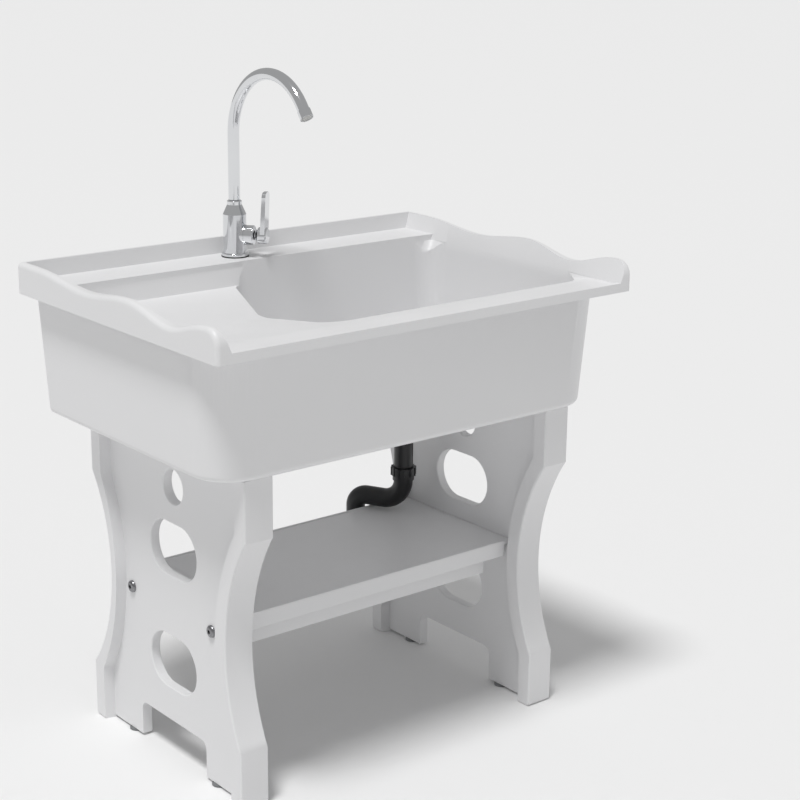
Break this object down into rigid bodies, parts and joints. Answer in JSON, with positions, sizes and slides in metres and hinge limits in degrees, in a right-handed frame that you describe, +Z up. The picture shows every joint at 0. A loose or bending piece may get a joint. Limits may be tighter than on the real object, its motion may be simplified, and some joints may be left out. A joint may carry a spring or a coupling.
{
  "type": "utility laundry sink",
  "caption": "Freestanding moulded laundry sink on two legs with a shelf, wavy splash lips, a washing platform beside a deep bowl, and a tall swivel-spout tap.",
  "frame": {"origin": "on the floor, under the middle of the rim's outer rectangle", "axes": "+X along the basin from the washing platform to the deep bowl, +Y from the front edge to the splash back, +Z up"},
  "size_m": [0.8, 0.568, 1.0717],
  "materials": {
    "white_moulding": "satin white resin",
    "steel": "brushed",
    "grey_plastic": "matt",
    "brass": "turned",
    "black_plastic": "matt black pipe",
    "black_rubber": "matt",
    "chrome": "polished",
    "copper": "drawn copper tube",
    "white_plastic": "matt"
  },
  "bodies": {
    "sink": {"basin": "white_moulding", "basin_rim": "white_moulding", "left_leg": "white_moulding", "right_leg": "white_moulding", "shelf": "white_moulding", "front_crossbar": "white_moulding", "back_crossbar": "white_moulding", "leg_bolts": "steel", "crossbar_nuts": "steel", "foot_inserts": "brass", "strainer_body": "steel", "strainer_seal": "black_rubber", "strainer_lock_nut": "black_plastic", "union_washer": "black_rubber", "union_nut": "black_plastic", "drain_tailpiece": "black_plastic", "slip_nut": "black_plastic", "slip_washer": "black_rubber", "drain_bend": "black_plastic", "outlet_seal": "black_rubber", "outlet_nut": "black_plastic", "deck_gasket": "black_rubber", "base_ring": "chrome", "tap_body": "chrome", "mounting_shank": "brass", "rubber_washer": "black_rubber", "steel_washer": "steel", "shank_nut": "brass", "hot_tail": "copper", "cold_tail": "copper", "spout_collar": "chrome", "cartridge": "grey_plastic", "bonnet": "chrome"},
    "swivel_spout": {"spout": "chrome", "spout_rings": "black_rubber", "aerator_housing": "chrome", "aerator_insert": "white_plastic"},
    "basket": {"strainer_basket": "steel", "basket_knob": "steel"},
    "lever_spindle": {"cartridge_spindle": "grey_plastic", "pivot_pin": "steel"},
    "lever_handle": {"lever_stem": "chrome", "lever": "chrome", "lever_screw": "steel"},
    "front_left_leveller": {"front_left_foot": "grey_plastic"},
    "front_right_leveller": {"front_right_foot": "grey_plastic"},
    "back_left_leveller": {"back_left_foot": "grey_plastic"},
    "back_right_leveller": {"back_right_foot": "grey_plastic"}
  },
  "joints": [
    {"name": "spout_swivel", "type": "hinge", "parent": "sink", "child": "swivel_spout", "pos_m": [-0.021, 0.232, 0.845], "axis": [0, 0, 1], "continuous": true},
    {"name": "lever_turn", "type": "hinge", "parent": "sink", "child": "lever_spindle", "pos_m": [-0.003, 0.21055, 0.787], "axis": [0.6428, -0.766, 0], "range_deg": [-45, 45]},
    {"name": "lever_lift", "type": "hinge", "parent": "lever_spindle", "child": "lever_handle", "pos_m": [-0.003, 0.21055, 0.787], "axis": [0.766, 0.6428, 0], "range_deg": [0, 20]},
    {"name": "basket_lift", "type": "slide", "parent": "sink", "child": "basket", "axis": [0, 0, 1], "range_m": [0, 0.06]},
    {"name": "front_left_levelling", "type": "slide", "parent": "sink", "child": "front_left_leveller", "axis": [0, 0, -1], "range_m": [0, 0.012]},
    {"name": "front_right_levelling", "type": "slide", "parent": "sink", "child": "front_right_leveller", "axis": [0, 0, -1], "range_m": [0, 0.012]},
    {"name": "back_left_levelling", "type": "slide", "parent": "sink", "child": "back_left_leveller", "axis": [0, 0, -1], "range_m": [0, 0.012]},
    {"name": "back_right_levelling", "type": "slide", "parent": "sink", "child": "back_right_leveller", "axis": [0, 0, -1], "range_m": [0, 0.012]}
  ]
}
